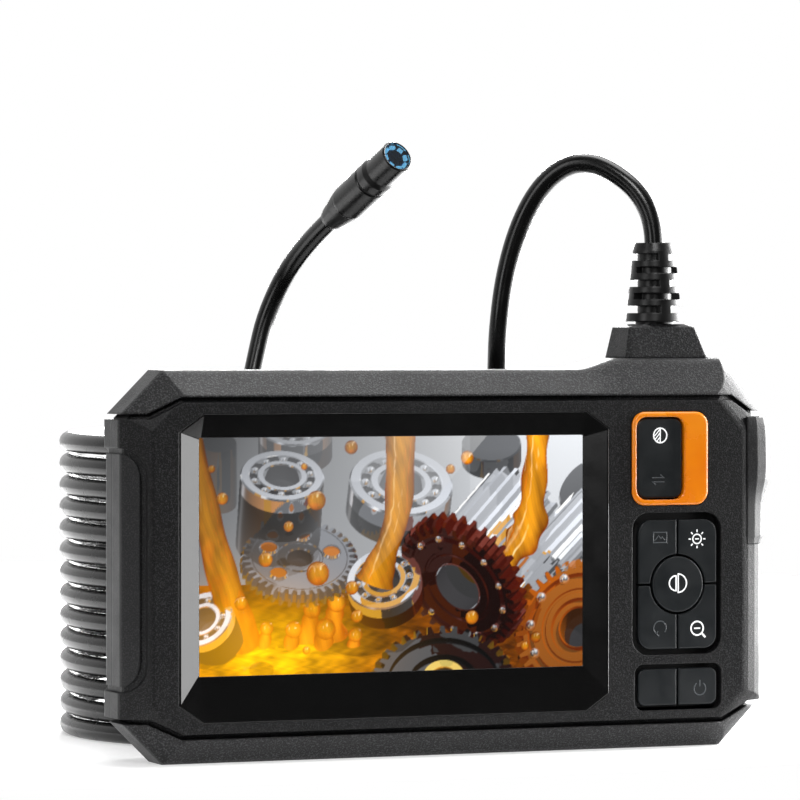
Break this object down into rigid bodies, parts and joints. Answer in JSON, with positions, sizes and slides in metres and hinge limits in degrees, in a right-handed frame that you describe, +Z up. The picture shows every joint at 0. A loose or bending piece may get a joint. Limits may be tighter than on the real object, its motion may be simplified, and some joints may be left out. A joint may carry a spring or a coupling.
{
  "type": "inspection camera",
  "caption": "Handheld screen inspection camera with rubber bumpers, keypad, rocker key and a long coiled cable that ends in a lit camera head.",
  "frame": {"origin": "under the middle of the handset, on the surface that it stands on", "axes": "+X to the right of the screen, +Y from the screen to the back, +Z up"},
  "size_m": [0.163, 0.1373, 0.1427],
  "materials": {
    "shell_fine": "fine grain",
    "bumper_rubber": "coarse grain",
    "grip_rubber": "fine grain",
    "bezel_gloss": "polished",
    "display_glass": "polished",
    "foam": "foam",
    "panel_metal": "satin",
    "trim_orange": "satin",
    "key_plastic": "satin with white icons",
    "keypad_rubber": "matte",
    "switch_body": "matte",
    "board_green": "solder mask",
    "battery_wrap": "shrink film",
    "socket_steel": "stamped",
    "flap_rubber": "matte",
    "pin_steel": "turned",
    "relief_rubber": "moulded",
    "cable_jacket": "smooth and glossy",
    "connector_plastic": "moulded",
    "clamp_steel": "stamped",
    "screw_steel": "black zinc",
    "head_metal": "satin black",
    "o_ring_rubber": "smooth",
    "lens_glass": "coated",
    "led_white": "lit",
    "led_board": "solder mask",
    "lens_black": "matte"
  },
  "bodies": {
    "handset": {"battery_cell": "battery_wrap", "board_connector": "connector_plastic", "bottom_bumper": "bumper_rubber", "cable_arch": "cable_jacket", "cable_clamp": "clamp_steel", "cable_coil": "cable_jacket", "cable_collar": "bumper_rubber", "cable_lead": "cable_jacket", "cable_tail": "cable_jacket", "card_socket": "socket_steel", "case_screws": "screw_steel", "clamp_screws": "screw_steel", "clamp_standoffs": "pin_steel", "display_bezel": "bezel_gloss", "display_gasket": "foam", "display_glass": "display_glass", "display_panel": "panel_metal", "front_shell": "shell_fine", "function_trim_ring": "trim_orange", "head_barrel": "head_metal", "head_leds": "led_white", "head_lens": "lens_glass", "head_o_ring": "o_ring_rubber", "head_sleeve": "head_metal", "head_tail": "relief_rubber", "head_window": "lens_glass", "keypad_mat": "keypad_rubber", "led_board": "led_board", "left_grip_pad": "grip_rubber", "left_rear_grip_pad": "grip_rubber", "lens_holder": "lens_black", "main_board": "board_green", "port_hinge_pin": "pin_steel", "rear_shell": "shell_fine", "right_thumb_pad": "grip_rubber", "sensor_board": "board_green", "strain_relief": "relief_rubber", "tact_switches": "switch_body", "top_bumper": "bumper_rubber", "usb_c_socket": "socket_steel"},
    "function_key": {"function_key": "key_plastic"},
    "upper_left_key": {"upper_left_key": "key_plastic"},
    "brightness_key": {"brightness_key": "key_plastic"},
    "lower_left_key": {"lower_left_key": "key_plastic"},
    "zoom_key": {"zoom_key": "key_plastic"},
    "center_key": {"center_key": "key_plastic"},
    "photo_key": {"photo_key": "key_plastic"},
    "power_key": {"power_key": "key_plastic"},
    "port_cover": {"port_cover": "flap_rubber"}
  },
  "joints": [
    {"name": "function_rock", "type": "hinge", "parent": "handset", "child": "function_key", "pos_m": [0.0503, -0.0109, 0.06815], "axis": [1, 0, 0], "range_deg": [-3, 3], "stiffness_Nm_per_rad": 0.02},
    {"name": "upper_left_press", "type": "slide", "parent": "handset", "child": "upper_left_key", "axis": [0, 1, 0], "range_m": [0, 0.0006], "stiffness_N_per_m": 600, "springref_m": -0.0004},
    {"name": "brightness_press", "type": "slide", "parent": "handset", "child": "brightness_key", "axis": [0, 1, 0], "range_m": [0, 0.0006], "stiffness_N_per_m": 600, "springref_m": -0.0004},
    {"name": "lower_left_press", "type": "slide", "parent": "handset", "child": "lower_left_key", "axis": [0, 1, 0], "range_m": [0, 0.0006], "stiffness_N_per_m": 600, "springref_m": -0.0004},
    {"name": "zoom_press", "type": "slide", "parent": "handset", "child": "zoom_key", "axis": [0, 1, 0], "range_m": [0, 0.0006], "stiffness_N_per_m": 600, "springref_m": -0.0004},
    {"name": "center_press", "type": "slide", "parent": "handset", "child": "center_key", "axis": [0, 1, 0], "range_m": [0, 0.0006], "stiffness_N_per_m": 600, "springref_m": -0.0004},
    {"name": "photo_press", "type": "slide", "parent": "handset", "child": "photo_key", "axis": [0, 1, 0], "range_m": [0, 0.0006], "stiffness_N_per_m": 600, "springref_m": -0.0004},
    {"name": "power_press", "type": "slide", "parent": "handset", "child": "power_key", "axis": [0, 1, 0], "range_m": [0, 0.0006], "stiffness_N_per_m": 600, "springref_m": -0.0004},
    {"name": "port_cover_swing", "type": "hinge", "parent": "handset", "child": "port_cover", "pos_m": [0.0781, -0.0017, 0.0209], "axis": [0, 1, 0], "range_deg": [0, 95]}
  ]
}
